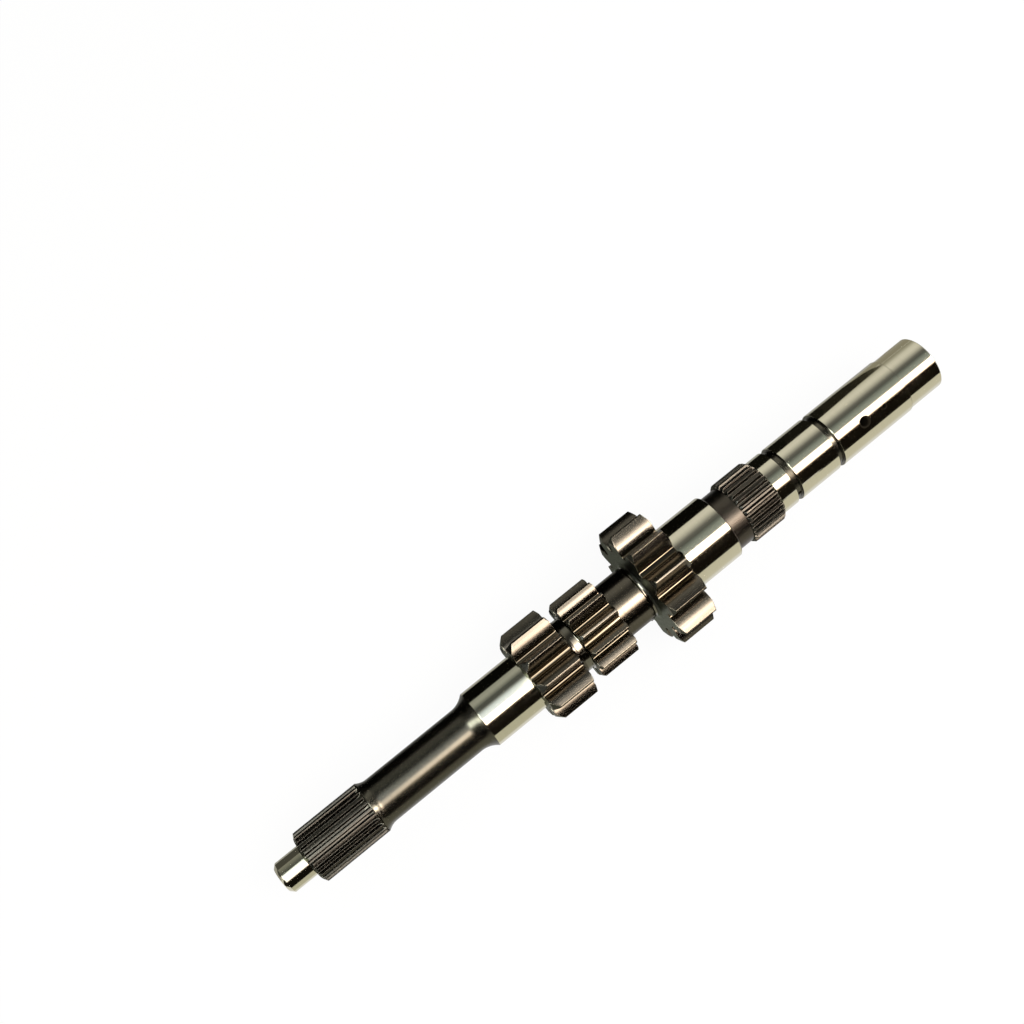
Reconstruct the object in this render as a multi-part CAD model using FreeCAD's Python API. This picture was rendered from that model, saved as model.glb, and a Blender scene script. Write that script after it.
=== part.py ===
import FreeCAD, Part
import math
import os

# Transmission input shaft, turned from one bar with three straight-cut gears and two splines.
# Millimetres and degrees. The shaft's axis is the X axis and +Z is up as it lies.
# X = 0 is the shoulder where the pilot journal meets the clutch spline.
# The pilot journal points to -X and the tail journal to +X.

# Lengths along the axis, from the pilot end to the tail end
pilot_length = 13.7
clutch_spline_length = 34.2
clutch_spline_fade = 4.8
shank_length = 46.3
flare_length = 7.6
front_journal_length = 26.4
small_gear_width = 22.0
gear_neck_length = 5.3
middle_gear_width = 20.1
long_neck_length = 16.8
large_gear_width = 19.5
shoulder_journal_length = 27.3
relief_length = 8.3
hub_spline_length = 18.6
first_seal_land_length = 8.4
ring_groove_width = 3.2
second_seal_land_length = 22.1
main_journal_length = 41.1
tail_length = 19.2

# Diameters of the turned stations
pilot_diameter = 15.0
shank_diameter = 21.8
front_journal_diameter = 27.9
gear_neck_diameter = 27.0
long_neck_diameter = 27.3
shoulder_journal_diameter = 32.7
relief_diameter = 28.7
seal_land_diameter = 28.5
main_journal_diameter = 28.6
tail_diameter = 27.4
ring_groove_depth = 1.3

# Edges and corners
pilot_chamfer = 1.7
shoulder_journal_chamfer = 1.9
tail_chamfer = 0.5
neck_corner_radius = 1.2
undercut_depth = 0.25
undercut_radius = 2.0
undercut_flat = 0.4
tail_step_radius = 0.5

# Teeth: every gear has straight involute teeth, thick at the root
pressure_angle = 20.0
addendum_factor = 0.97
dedendum_factor = 1.25

small_gear_teeth = 11
small_gear_module = 3.25
small_gear_shift = 0.53
small_gear_front_chamfer = 3.2
small_gear_back_chamfer = 1.3
small_gear_turn = -3.7

middle_gear_teeth = 13
middle_gear_module = 2.5
middle_gear_shift = 0.51
middle_gear_front_chamfer = 1.2
middle_gear_back_chamfer = 0.6
middle_gear_turn = 12.0

large_gear_teeth = 12
large_gear_module = 4.0
large_gear_shift = 0.68
large_gear_front_chamfer = 1.4
large_gear_back_chamfer = 1.2

# Splines
clutch_spline_teeth = 24
clutch_spline_diameter = 25.0
clutch_spline_turn = 12.4
clutch_spline_front_chamfer = 1.5
clutch_spline_face_diameter = 18.0
clutch_spline_cutter_radius = 3.6

hub_spline_teeth = 30
hub_spline_diameter = 32.1
hub_spline_turn = 11.6
hub_spline_front_chamfer = 1.1
hub_spline_back_chamfer = 1.6
hub_spline_root_rise = 0.1

# Oil passages: a gallery from the tail end, and drillings that meet it
gallery_diameter = 5.0
gallery_mouth_diameter = 8.5
gallery_past_groove = 4.0
drill_point_angle = 118.0
centre_angle = 60.0
centre_drill_diameter = 4.0
centre_mouth_diameter = 7.0
centre_drill_depth = 8.0
groove_hole_diameter = 2.0
groove_hole_turn = 72.0
large_oil_hole_diameter = 4.2
large_oil_hole_chamfer = 0.6
large_oil_hole_from_groove = 15.5
small_oil_hole_diameter = 1.8
small_oil_hole_chamfer = 0.25
oil_hole_spacing = 11.9
oil_hole_turn = 32.4

# Places along the axis that follow from the lengths
clutch_spline_end = clutch_spline_length
shank_start = clutch_spline_end + clutch_spline_fade
flare_start = shank_start + shank_length
front_journal_start = flare_start + flare_length
small_gear_start = front_journal_start + front_journal_length
small_gear_end = small_gear_start + small_gear_width
middle_gear_start = small_gear_end + gear_neck_length
middle_gear_end = middle_gear_start + middle_gear_width
large_gear_start = middle_gear_end + long_neck_length
undercut_start = large_gear_start - undercut_radius - undercut_flat
large_gear_end = large_gear_start + large_gear_width
shoulder_journal_end = large_gear_end + shoulder_journal_length
hub_spline_start = shoulder_journal_end + relief_length
hub_spline_end = hub_spline_start + hub_spline_length
first_groove_start = hub_spline_end + first_seal_land_length
first_groove_end = first_groove_start + ring_groove_width
second_groove_start = first_groove_end + second_seal_land_length
second_groove_end = second_groove_start + ring_groove_width
tail_start = second_groove_end + main_journal_length
tail_end = tail_start + tail_length

# The large gear lies with a tooth space straight down, so two of its teeth touch the bench
large_gear_turn = 180.0 / large_gear_teeth


def point(x, radius):
    """A point of the turned outline, at a distance along the axis and a radius."""
    return FreeCAD.Vector(x, 0, radius)


def line(start, end):
    """A straight edge."""
    return Part.makeLine(start, end)


def arc(start, middle, end):
    """A round edge through three points."""
    return Part.Arc(start, middle, end).toShape()


def polygon_edges(points):
    """Straight edges from each point to the next."""
    return [line(first, second) for first, second in zip(points, points[1:])]


def turned(edges):
    """A solid of revolution about the X axis from an outline that starts and ends on it."""
    face = Part.Face(Part.Wire(edges))
    return face.revolve(FreeCAD.Vector(0, 0, 0), FreeCAD.Vector(1, 0, 0), 360)


def turned_polygon(stations):
    """A solid of revolution from straight stations given as (x, radius)."""
    points = [point(x, radius) for x, radius in stations]
    points = [point(stations[0][0], 0)] + points + [point(stations[-1][0], 0)]
    return turned(polygon_edges(points + points[:1]))


def concave_arc(x_start, radius_start, x_end, radius_end):
    """A hollow arc that leaves the cylinder at its start smoothly and meets the end at an angle."""
    run = x_end - x_start
    rise = radius_end - radius_start
    bend = (run * run + rise * rise) / (2 * abs(rise))
    side = math.copysign(1.0, rise)
    half_angle = 0.5 * math.atan2(abs(run), bend - abs(rise))
    middle_x = x_start + math.copysign(bend * math.sin(half_angle), run)
    middle_radius = radius_start + side * bend * (1 - math.cos(half_angle))
    return arc(point(x_start, radius_start), point(middle_x, middle_radius), point(x_end, radius_end))


def corner_arc(x_wall, radius_floor, size, direction):
    """A quarter-round corner between a floor cylinder and a wall, on the wall's given side."""
    centre_x = x_wall + direction * size
    centre_radius = radius_floor + size
    on_floor = point(centre_x, radius_floor)
    on_wall = point(x_wall, centre_radius)
    diagonal = size * math.sqrt(0.5)
    between = point(centre_x - direction * diagonal, centre_radius - diagonal)
    if direction > 0:
        return on_wall, arc(on_wall, between, on_floor), on_floor
    return on_floor, arc(on_floor, between, on_wall), on_wall


def place(x, radius, angle):
    """A point at an angle from straight up, towards -Y."""
    return FreeCAD.Vector(x, -radius * math.sin(angle), radius * math.cos(angle))


def smooth_edge(points):
    """A smooth edge through points."""
    curve = Part.BSplineCurve()
    curve.interpolate(points)
    return curve.toShape()


def involute(angle):
    """The involute function of an angle in radians."""
    return math.tan(angle) - angle


class Teeth:
    """Sizes of one ring of teeth. Gears have curved flanks with root fillets, splines straight ones."""

    def __init__(self, count, module, shift, tip_radius=None, root_radius=None):
        pressure = math.radians(pressure_angle)
        pitch_radius = module * count / 2
        self.count = count
        self.pitch_angle = 2 * math.pi / count
        self.is_spline = tip_radius is not None
        self.tip_radius = tip_radius or pitch_radius + module * (addendum_factor + shift)
        self.root_radius = root_radius or pitch_radius - module * (dedendum_factor - shift)
        self.base_radius = pitch_radius * math.cos(pressure)
        thickness = module * (math.pi / 2 + 2 * shift * math.tan(pressure))
        self.base_half_angle = thickness / (2 * pitch_radius) + involute(pressure)
        self.flank_start = max(self.base_radius, self.root_radius + 0.1 * module)

    def half_angle(self, radius):
        """Half the angle that a tooth spans at a radius on its flank."""
        return self.base_half_angle - involute(math.acos(min(1.0, self.base_radius / radius)))

    def outline(self, x, turn):
        """The closed outline of the teeth in the plane at x, with one tooth turned from straight up."""
        edges = []
        for tooth in range(self.count):
            centre = math.radians(turn) + tooth * self.pitch_angle
            edges += self.straight_tooth(x, centre) if self.is_spline else self.gear_tooth(x, centre)
        return Part.Wire(edges)

    def straight_tooth(self, x, centre):
        """Edges of one spline tooth and the space after it."""
        root, tip = self.root_radius, self.tip_radius
        foot = self.half_angle(max(root, self.base_radius))
        left_foot = place(x, root, centre - foot)
        left_tip = place(x, tip, centre - self.half_angle(tip))
        right_tip = place(x, tip, centre + self.half_angle(tip))
        right_foot = place(x, root, centre + foot)
        next_foot = place(x, root, centre + self.pitch_angle - foot)
        return [
            line(left_foot, left_tip),
            arc(left_tip, place(x, tip, centre), right_tip),
            line(right_tip, right_foot),
            arc(right_foot, place(x, root, centre + self.pitch_angle / 2), next_foot)]

    def gear_tooth(self, x, centre, flank_points=6):
        """Edges of one gear tooth with its root fillets, and the space after it."""
        root, start, tip = self.root_radius, self.flank_start, self.tip_radius
        fillet = (start * start - root * root) / (2 * root)
        fillet_turn = math.asin(min(1.0, fillet / (root + fillet)))
        fillet_radius = root + fillet * (1 - math.sqrt(0.5))
        side_angle = self.half_angle(start) + fillet_turn * (1 - math.sqrt(0.5))
        foot = self.half_angle(start) + fillet_turn
        radii = [start + (tip - start) * step / (flank_points - 1) for step in range(flank_points)]
        rising = [place(x, radius, centre - self.half_angle(radius)) for radius in radii]
        falling = [place(x, radius, centre + self.half_angle(radius)) for radius in reversed(radii)]
        left_foot = place(x, root, centre - foot)
        right_foot = place(x, root, centre + foot)
        next_foot = place(x, root, centre + self.pitch_angle - foot)
        return [
            arc(left_foot, place(x, fillet_radius, centre - side_angle), rising[0]),
            smooth_edge(rising),
            arc(rising[-1], place(x, tip, centre), falling[0]),
            smooth_edge(falling),
            arc(falling[-1], place(x, fillet_radius, centre + side_angle), right_foot),
            arc(right_foot, place(x, root, centre + self.pitch_angle / 2), next_foot)]

    def prism(self, x_start, x_end, turn):
        """The ring of teeth with its core, from one place along the axis to another."""
        face = Part.Face(self.outline(x_start, turn))
        return face.extrude(FreeCAD.Vector(x_end - x_start, 0, 0))


def blank():
    """The turned shaft without its teeth, from the pilot end to the tail end."""
    pilot = pilot_diameter / 2
    shank = shank_diameter / 2
    front = front_journal_diameter / 2
    neck = gear_neck_diameter / 2
    long_neck = long_neck_diameter / 2
    shoulder = shoulder_journal_diameter / 2
    relief = relief_diameter / 2
    land = seal_land_diameter / 2
    main = main_journal_diameter / 2
    tail = tail_diameter / 2
    floor = land - ring_groove_depth
    small_root = small_gear().root_radius
    middle_root = middle_gear().root_radius
    small_corner = min(neck_corner_radius, 0.9 * (small_root - neck))
    middle_corner = min(neck_corner_radius, 0.9 * (middle_root - neck))
    neck_wall, neck_left, neck_left_floor = corner_arc(small_gear_end, neck, small_corner, 1)
    neck_right_floor, neck_right, neck_right_wall = corner_arc(
        middle_gear_start, neck, middle_corner, -1)
    undercut = long_neck - undercut_depth
    undercut_floor, undercut_corner, undercut_wall = corner_arc(
        large_gear_start, undercut, undercut_radius, -1)
    step_wall, step_corner, step_floor = corner_arc(tail_start, tail, tail_step_radius, 1)

    edges = polygon_edges([
        point(-pilot_length, 0),
        point(-pilot_length, pilot - pilot_chamfer),
        point(-pilot_length + pilot_chamfer, pilot),
        point(0, pilot),
        point(0, shank),
        point(flare_start, shank)])
    edges.append(concave_arc(flare_start, shank, front_journal_start, front))
    edges += polygon_edges([
        point(front_journal_start, front),
        point(small_gear_start, front),
        point(small_gear_start, small_root),
        point(small_gear_end, small_root),
        neck_wall])
    edges.append(neck_left)
    edges.append(line(neck_left_floor, neck_right_floor))
    edges.append(neck_right)
    edges += polygon_edges([
        neck_right_wall,
        point(middle_gear_start, middle_root),
        point(middle_gear_end, middle_root),
        point(middle_gear_end, long_neck),
        point(undercut_start, long_neck),
        point(undercut_start, undercut),
        undercut_floor])
    edges.append(undercut_corner)
    edges += polygon_edges([
        undercut_wall,
        point(large_gear_start, shoulder),
        point(shoulder_journal_end - shoulder_journal_chamfer, shoulder),
        point(shoulder_journal_end, relief),
        point(hub_spline_start, relief),
        point(hub_spline_end, relief),
        point(hub_spline_end, land),
        point(first_groove_start, land),
        point(first_groove_start, floor),
        point(first_groove_end, floor),
        point(first_groove_end, land),
        point(second_groove_start, land),
        point(second_groove_start, floor),
        point(second_groove_end, floor),
        point(second_groove_end, main),
        point(tail_start, main),
        step_wall])
    edges.append(step_corner)
    edges += polygon_edges([
        step_floor,
        point(tail_end - tail_chamfer, tail),
        point(tail_end, tail - tail_chamfer),
        point(tail_end, 0),
        point(-pilot_length, 0)])
    return turned(edges)


def small_gear():
    """Teeth of the small gear, next to the front journal."""
    return Teeth(small_gear_teeth, small_gear_module, small_gear_shift)


def middle_gear():
    """Teeth of the middle gear."""
    return Teeth(middle_gear_teeth, middle_gear_module, middle_gear_shift)


def large_gear():
    """Teeth of the large gear, against the shoulder journal."""
    return Teeth(large_gear_teeth, large_gear_module, large_gear_shift)


def bevelled_gear(teeth, x_start, x_end, turn, front_chamfer, back_chamfer):
    """A ring of gear teeth whose front and back corners are turned off at 45 degrees."""
    turned_blank = turned_polygon([
        (x_start, teeth.tip_radius - front_chamfer),
        (x_start + front_chamfer, teeth.tip_radius),
        (x_end - back_chamfer, teeth.tip_radius),
        (x_end, teeth.tip_radius - back_chamfer)])
    return teeth.prism(x_start, x_end, turn).common(turned_blank)


def clutch_spline():
    """The clutch spline: its spaces rise out along the cutter's radius, then the teeth fade out."""
    tip = clutch_spline_diameter / 2
    root = shank_diameter / 2
    module = clutch_spline_diameter / (clutch_spline_teeth + 1)
    teeth = Teeth(clutch_spline_teeth, module, 0, tip, root)
    envelope = turned([
        *polygon_edges([
            point(shank_start, 0),
            point(0, 0),
            point(0, clutch_spline_face_diameter / 2),
            point(clutch_spline_front_chamfer, tip),
            point(clutch_spline_end, tip)]),
        concave_arc_from_end(clutch_spline_end, tip, shank_start, root),
        line(point(shank_start, root), point(shank_start, 0))])
    rise = tip - root
    run = math.sqrt(max(0.0, 2 * clutch_spline_cutter_radius * rise - rise * rise))
    ramp_start = clutch_spline_end - run
    ramp = turned([
        line(point(ramp_start, 0), point(ramp_start, root)),
        concave_arc(ramp_start, root, clutch_spline_end, tip),
        line(point(clutch_spline_end, tip), point(shank_start, tip)),
        line(point(shank_start, tip), point(shank_start, 0)),
        line(point(shank_start, 0), point(ramp_start, 0))])
    return teeth.prism(0, shank_start, clutch_spline_turn).fuse(ramp).common(envelope)


def concave_arc_from_end(x_start, radius_start, x_end, radius_end):
    """A hollow arc that meets its start at an angle and runs smoothly into the end cylinder."""
    return concave_arc(x_end, radius_end, x_start, radius_start)


def hub_spline():
    """The hub spline, with both ends of its teeth turned off."""
    tip = hub_spline_diameter / 2
    root = relief_diameter / 2 + hub_spline_root_rise
    module = hub_spline_diameter / (hub_spline_teeth + 2)
    teeth = Teeth(hub_spline_teeth, module, 0, tip, root)
    turned_blank = turned_polygon([
        (hub_spline_start, tip - hub_spline_front_chamfer),
        (hub_spline_start + hub_spline_front_chamfer, tip),
        (hub_spline_end - hub_spline_back_chamfer, tip),
        (hub_spline_end, tip - hub_spline_back_chamfer)])
    return teeth.prism(hub_spline_start, hub_spline_end, hub_spline_turn).common(turned_blank)


def axial_hole(x_mouth, direction, depth, diameter, mouth_diameter):
    """A drilled hole along the axis with a coned mouth and a pointed bottom."""
    radius = diameter / 2
    mouth = mouth_diameter / 2
    mouth_depth = (mouth - radius) / math.tan(math.radians(centre_angle / 2))
    point_depth = radius / math.tan(math.radians(drill_point_angle / 2))
    stations = [(0, mouth), (mouth_depth, radius), (depth, radius), (depth + point_depth, 0)]
    points = [point(x_mouth + direction * along, across) for along, across in stations]
    return turned(polygon_edges([point(x_mouth, 0)] + points + [point(x_mouth, 0)]))


def cross_drilling(x, turn, diameter, surface_diameter, chamfer=0.0):
    """A drilling from the surface to the axis, turned from straight up, with a coned mouth."""
    surface = surface_diameter / 2
    radius = diameter / 2
    drill = Part.makeCylinder(radius, surface + 1, FreeCAD.Vector(x, 0, 0), FreeCAD.Vector(0, 0, 1))
    if chamfer:
        cone_start = surface - chamfer - radius * radius / (2 * surface)
        cone = Part.makeCone(
            radius, radius + 2 * chamfer, 2 * chamfer,
            FreeCAD.Vector(x, 0, cone_start), FreeCAD.Vector(0, 0, 1))
        drill = drill.fuse(cone)
    drill.rotate(FreeCAD.Vector(x, 0, 0), FreeCAD.Vector(1, 0, 0), turn)
    return drill


def oil_passages():
    """The gallery, the drillings that meet it and the centre hole in the pilot end."""
    groove_hole_x = (first_groove_start + first_groove_end) / 2
    groove_floor_diameter = seal_land_diameter - 2 * ring_groove_depth
    large_hole_x = second_groove_end + large_oil_hole_from_groove
    gallery_depth = tail_end - groove_hole_x + gallery_past_groove
    return [
        axial_hole(tail_end, -1, gallery_depth, gallery_diameter, gallery_mouth_diameter),
        axial_hole(-pilot_length, 1, centre_drill_depth, centre_drill_diameter, centre_mouth_diameter),
        cross_drilling(groove_hole_x, groove_hole_turn, groove_hole_diameter, groove_floor_diameter),
        cross_drilling(large_hole_x, oil_hole_turn, large_oil_hole_diameter,
                       main_journal_diameter, large_oil_hole_chamfer),
        cross_drilling(large_hole_x + oil_hole_spacing, oil_hole_turn, small_oil_hole_diameter,
                       main_journal_diameter, small_oil_hole_chamfer)]


def input_shaft():
    """The whole shaft as one solid."""
    shaft = blank()
    rings = [
        clutch_spline(),
        bevelled_gear(small_gear(), small_gear_start, small_gear_end,
                      small_gear_turn, small_gear_front_chamfer, small_gear_back_chamfer),
        bevelled_gear(middle_gear(), middle_gear_start, middle_gear_end,
                      middle_gear_turn, middle_gear_front_chamfer, middle_gear_back_chamfer),
        bevelled_gear(large_gear(), large_gear_start, large_gear_end,
                      large_gear_turn, large_gear_front_chamfer, large_gear_back_chamfer),
        hub_spline()]
    for ring in rings:
        shaft = shaft.fuse(ring)
    for passage in oil_passages():
        shaft = shaft.cut(passage)
    return shaft.removeSplitter()


os.makedirs("parts", exist_ok=True)
input_shaft().exportStep("parts/input_shaft.step")
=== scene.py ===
import math

import bmesh
import bpy
from mathutils import Matrix, Vector


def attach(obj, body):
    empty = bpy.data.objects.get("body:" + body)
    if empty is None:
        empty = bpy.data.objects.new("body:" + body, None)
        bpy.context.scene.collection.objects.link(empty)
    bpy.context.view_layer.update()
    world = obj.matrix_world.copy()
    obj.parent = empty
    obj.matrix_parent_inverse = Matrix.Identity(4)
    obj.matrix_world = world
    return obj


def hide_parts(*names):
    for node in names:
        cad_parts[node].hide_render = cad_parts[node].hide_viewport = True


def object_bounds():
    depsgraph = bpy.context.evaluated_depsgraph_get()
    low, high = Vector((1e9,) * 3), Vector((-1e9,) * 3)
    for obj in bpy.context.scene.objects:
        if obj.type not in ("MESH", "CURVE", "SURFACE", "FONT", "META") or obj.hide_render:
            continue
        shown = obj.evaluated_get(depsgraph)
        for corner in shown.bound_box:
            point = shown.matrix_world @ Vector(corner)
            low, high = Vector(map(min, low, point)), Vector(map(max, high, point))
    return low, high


# Dressed model of the transmission input shaft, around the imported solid.
# Sizes are in millimetres and degrees. The shaft's axis is X, and the bench lies below it in -Z.

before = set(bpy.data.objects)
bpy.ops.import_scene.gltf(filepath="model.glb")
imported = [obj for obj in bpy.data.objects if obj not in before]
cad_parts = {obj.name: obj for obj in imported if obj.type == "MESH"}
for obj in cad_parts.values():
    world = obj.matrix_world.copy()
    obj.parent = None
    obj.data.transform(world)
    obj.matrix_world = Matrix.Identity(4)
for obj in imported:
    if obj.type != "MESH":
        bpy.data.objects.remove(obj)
cad_low, cad_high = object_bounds()

MM = 0.001

# Gears and splines. A turn is that of one tooth from straight up, towards -Y.
pressure_angle = math.radians(20)
addendum_factor = 0.97
dedendum_factor = 1.25
# Each gear's teeth as (count, module, shift)
small_gear_teeth = (11, 3.25, 0.53)
small_gear_turn = -3.7
middle_gear_teeth = (13, 2.5, 0.51)
middle_gear_turn = 12.0
large_gear_teeth = (12, 4.0, 0.68)
large_gear_turn = 15.0
clutch_spline_teeth = 24
clutch_spline_radius = 12.5
clutch_spline_turn = 12.4
hub_spline_teeth = 30
hub_spline_radius = 16.05
hub_spline_turn = 11.6
hub_spline_root_rise = 0.1

# Lengths along the axis, from the pilot end to the tail end
pilot_length = 13.7
clutch_spline_length = 34.2
clutch_spline_fade = 4.8
shank_length = 46.3
flare_length = 7.6
front_journal_length = 26.4
small_gear_width = 22.0
gear_neck_length = 5.3
middle_gear_width = 20.1
long_neck_length = 16.8
large_gear_width = 19.5
shoulder_journal_length = 27.3
relief_length = 8.3
hub_spline_length = 18.6
first_seal_land_length = 8.4
ring_groove_width = 3.2
second_seal_land_length = 22.1
main_journal_length = 41.1
tail_length = 19.2

# Radii of the turned stations
pilot_radius = 7.5
shank_radius = 10.9
front_journal_radius = 13.95
gear_neck_radius = 13.5
long_neck_radius = 13.65
undercut_radius = 13.4
undercut_fillet = 2.0
shoulder_journal_radius = 16.35
relief_radius = 14.35
seal_land_radius = 14.25
groove_floor_radius = 12.95
main_journal_radius = 14.3
tail_radius = 13.7

# Inside a ring of teeth the turned body runs on a little way, then steps down to an inner radius
inner_radius = 12.0
lap = 0.2
lap_step = 0.5
lap_end = 0.6
clutch_lap = 0.4
clutch_lap_step = 0.25

# Chamfers and corners
pilot_chamfer = 1.7
pilot_relief_start = 0.9
pilot_relief_full = 0.35
pilot_relief_depth = 0.2
clutch_cone_length = 1.3
clutch_cone_face = 10.3
clutch_cutter_radius = 3.6
# Each gear's chamfers as (along the axis, across it), at its front and its back
small_gear_chamfers = ((3.1, 3.3), (0.9, 2.4))
middle_gear_chamfers = ((1.2, 1.3), (0.5, 1.2))
large_gear_chamfers = ((1.5, 3.2), (1.2, 3.4))
hub_spline_chamfers = (1.1, 1.6)
small_neck_fillet = 1.2
small_neck_stretch = 1.7
middle_neck_fillet = 0.8
shoulder_chamfer = 0.6
shoulder_edge_back = 0.3
tail_chamfer = 0.5
tail_step_run = 0.02
# The undercut starts with a sharp edge, at these distances before its fillet
undercut_lead = 0.6
undercut_edge_from = 0.3
undercut_edge_to = 0.15
undercut_edge_rise = 0.03

# Roundings of turned edges and corners
fine_round = 0.1
flare_round = 0.12
shoulder_round = 0.15
edge_round = 0.18
corner_round = 0.25
pilot_relief_round = 0.3
tail_step_round = 0.25
tail_foot_round = 0.45

# Drillings
centre_mouth_radius = 3.5
centre_drill_radius = 2.0
centre_drill_depth = 8.0
gallery_mouth_radius = 4.25
gallery_radius = 2.5
gallery_past_groove = 4.0
cone_half_angle = math.radians(30)
drill_half_angle = math.radians(59)
groove_hole_radius = 1.0
groove_hole_chamfer = 0.08
groove_hole_turn = 72.0
groove_hole_patch = 1.3
large_hole_radius = 2.1
large_hole_chamfer = 0.6
large_hole_patch = 4.2
large_hole_from_groove = 15.5
small_hole_radius = 0.9
small_hole_chamfer = 0.25
small_hole_patch = 2.0
oil_hole_spacing = 11.9
oil_hole_turn = 32.4
drilling_floor = 3.0

# Places along the axis
shank_start = clutch_spline_length + clutch_spline_fade
flare_start = shank_start + shank_length
front_journal_start = flare_start + flare_length
small_gear_start = front_journal_start + front_journal_length
small_gear_end = small_gear_start + small_gear_width
middle_gear_start = small_gear_end + gear_neck_length
middle_gear_end = middle_gear_start + middle_gear_width
large_gear_start = middle_gear_end + long_neck_length
large_gear_end = large_gear_start + large_gear_width
shoulder_journal_end = large_gear_end + shoulder_journal_length
hub_spline_start = shoulder_journal_end + relief_length
hub_spline_end = hub_spline_start + hub_spline_length
first_groove_start = hub_spline_end + first_seal_land_length
first_groove_end = first_groove_start + ring_groove_width
second_groove_start = first_groove_end + second_seal_land_length
second_groove_end = second_groove_start + ring_groove_width
tail_start = second_groove_end + main_journal_length
tail_end = tail_start + tail_length
groove_hole_x = (first_groove_start + first_groove_end) / 2
large_hole_x = second_groove_end + large_hole_from_groove

# Finishes, as places in the list of steels. The edge finish is lighter steel on edges and corners: a
# painted glint.
GROUND, TURNED, SATIN, TEETH, EDGE_GLINT, BORE_SHADE, ROOT, FACE, SPLINE, RELIEF, LAPPED = range(11)
# The bore finish is near-black, non-metal steel inside the drillings: painted shade.

# The top of each tooth takes the finish that the run between two sections names
LAND = -1

# Points round the turned body
around = 288


def place(x, radius, angle):
    """A point at an angle from straight up, towards -Y."""
    return (x, -radius * math.sin(angle), radius * math.cos(angle))


class Skin:
    """Rings of points joined into one closed mesh."""

    def __init__(self):
        self.points = []
        self.faces = []
        self.finishes = []

    def ring(self, points):
        """Adds a closed ring of points and gives their numbers."""
        first = len(self.points)
        self.points.extend(points)
        return list(range(first, len(self.points)))

    def face(self, corners, finish):
        """Adds one face."""
        self.faces.append(corners)
        self.finishes.append(finish)

    def join(self, first, second, finish, left_out=()):
        """Adds the faces between two rings, but for those left out. A ring of one point is a pole."""
        count = max(len(first), len(second))
        for at in range(count):
            if at in left_out:
                continue
            following = (at + 1) % count
            kind = finish[at] if isinstance(finish, list) else finish
            if len(first) == 1:
                self.face((first[0], second[following], second[at]), kind)
            elif len(second) == 1:
                self.face((first[at], first[following], second[0]), kind)
            else:
                self.face((first[at], first[following], second[following], second[at]), kind)

    def grow(self, previous, points, finish):
        """Adds a ring of points, joined to the ring before it, and gives its numbers."""
        ring = self.ring(points)
        self.join(previous, ring, finish)
        return ring

    def build(self, name):
        """Makes the object, in metres, with smooth normals that keep flat faces flat."""
        mesh = bpy.data.meshes.new(name)
        mesh.from_pydata([[value * MM for value in spot] for spot in self.points], [], self.faces)
        for material in steels:
            mesh.materials.append(material)
        for polygon, finish in zip(mesh.polygons, self.finishes):
            polygon.material_index = finish
            polygon.use_smooth = True
        work = bmesh.new()
        work.from_mesh(mesh)
        bmesh.ops.recalc_face_normals(work, faces=work.faces)
        work.to_mesh(mesh)
        work.free()
        piece = bpy.data.objects.new(name, mesh)
        bpy.context.scene.collection.objects.link(piece)
        weighted = piece.modifiers.new("weighted_normals", "WEIGHTED_NORMAL")
        weighted.mode = "FACE_AREA"
        weighted.weight = 100
        weighted.keep_sharp = True
        return piece


def rounded(corners, steps=3):
    """Rounds the corners of a profile of (x, radius, rounding, finish of the run that follows)."""
    made = [corners[0]]
    for before, here, after in zip(corners, corners[1:], corners[2:]):
        x, radius, rounding, finish = here
        if not rounding:
            made.append(here)
            continue
        back = (before[0] - x, before[1] - radius)
        ahead = (after[0] - x, after[1] - radius)
        back_length = math.hypot(*back)
        ahead_length = math.hypot(*ahead)
        back = (back[0] / back_length, back[1] / back_length)
        ahead = (ahead[0] / ahead_length, ahead[1] / ahead_length)
        opening = math.acos(max(-1.0, min(1.0, back[0] * ahead[0] + back[1] * ahead[1])))
        reach = min(rounding / math.tan(opening / 2), 0.45 * back_length, 0.45 * ahead_length)
        bend = reach * math.tan(opening / 2)
        middle = (back[0] + ahead[0], back[1] + ahead[1])
        middle_length = math.hypot(*middle)
        offset = bend / math.sin(opening / 2)
        centre = (
            x + middle[0] / middle_length * offset,
            radius + middle[1] / middle_length * offset)
        start = (x + back[0] * reach - centre[0], radius + back[1] * reach - centre[1])
        sweep = math.pi - opening
        side = math.copysign(1.0, start[0] * ahead[1] - start[1] * ahead[0])
        for step in range(steps + 1):
            turn = side * sweep * step / steps
            made.append((
                centre[0] + start[0] * math.cos(turn) - start[1] * math.sin(turn),
                centre[1] + start[0] * math.sin(turn) + start[1] * math.cos(turn),
                0, finish))
    made.append(corners[-1])
    return made


def hollow(x_flat, radius_flat, x_edge, radius_edge, finish, steps=9):
    """Profile points of a hollow arc from its edge to where it runs smoothly into a cylinder."""
    run = x_edge - x_flat
    rise = radius_edge - radius_flat
    bend = (run * run + rise * rise) / (2 * rise)
    sweep = math.asin(abs(run) / bend)
    side = math.copysign(1.0, run)
    return [
        (x_flat + side * bend * math.sin(sweep * step / steps),
         radius_flat + bend * (1 - math.cos(sweep * step / steps)), 0, finish)
        for step in range(steps, -1, -1)]


def quarter(x_wall, radius_floor, size, direction, finish, steps=6, stretch=1.0):
    """Profile points of a quarter round between a wall and a floor, stretched along the axis."""
    points = []
    for step in range(steps + 1):
        angle = math.pi / 2 * step / steps
        points.append((
            x_wall + direction * size * stretch * (1 - math.cos(angle)),
            radius_floor + size * (1 - math.sin(angle)), 0, finish))
    return points


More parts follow.
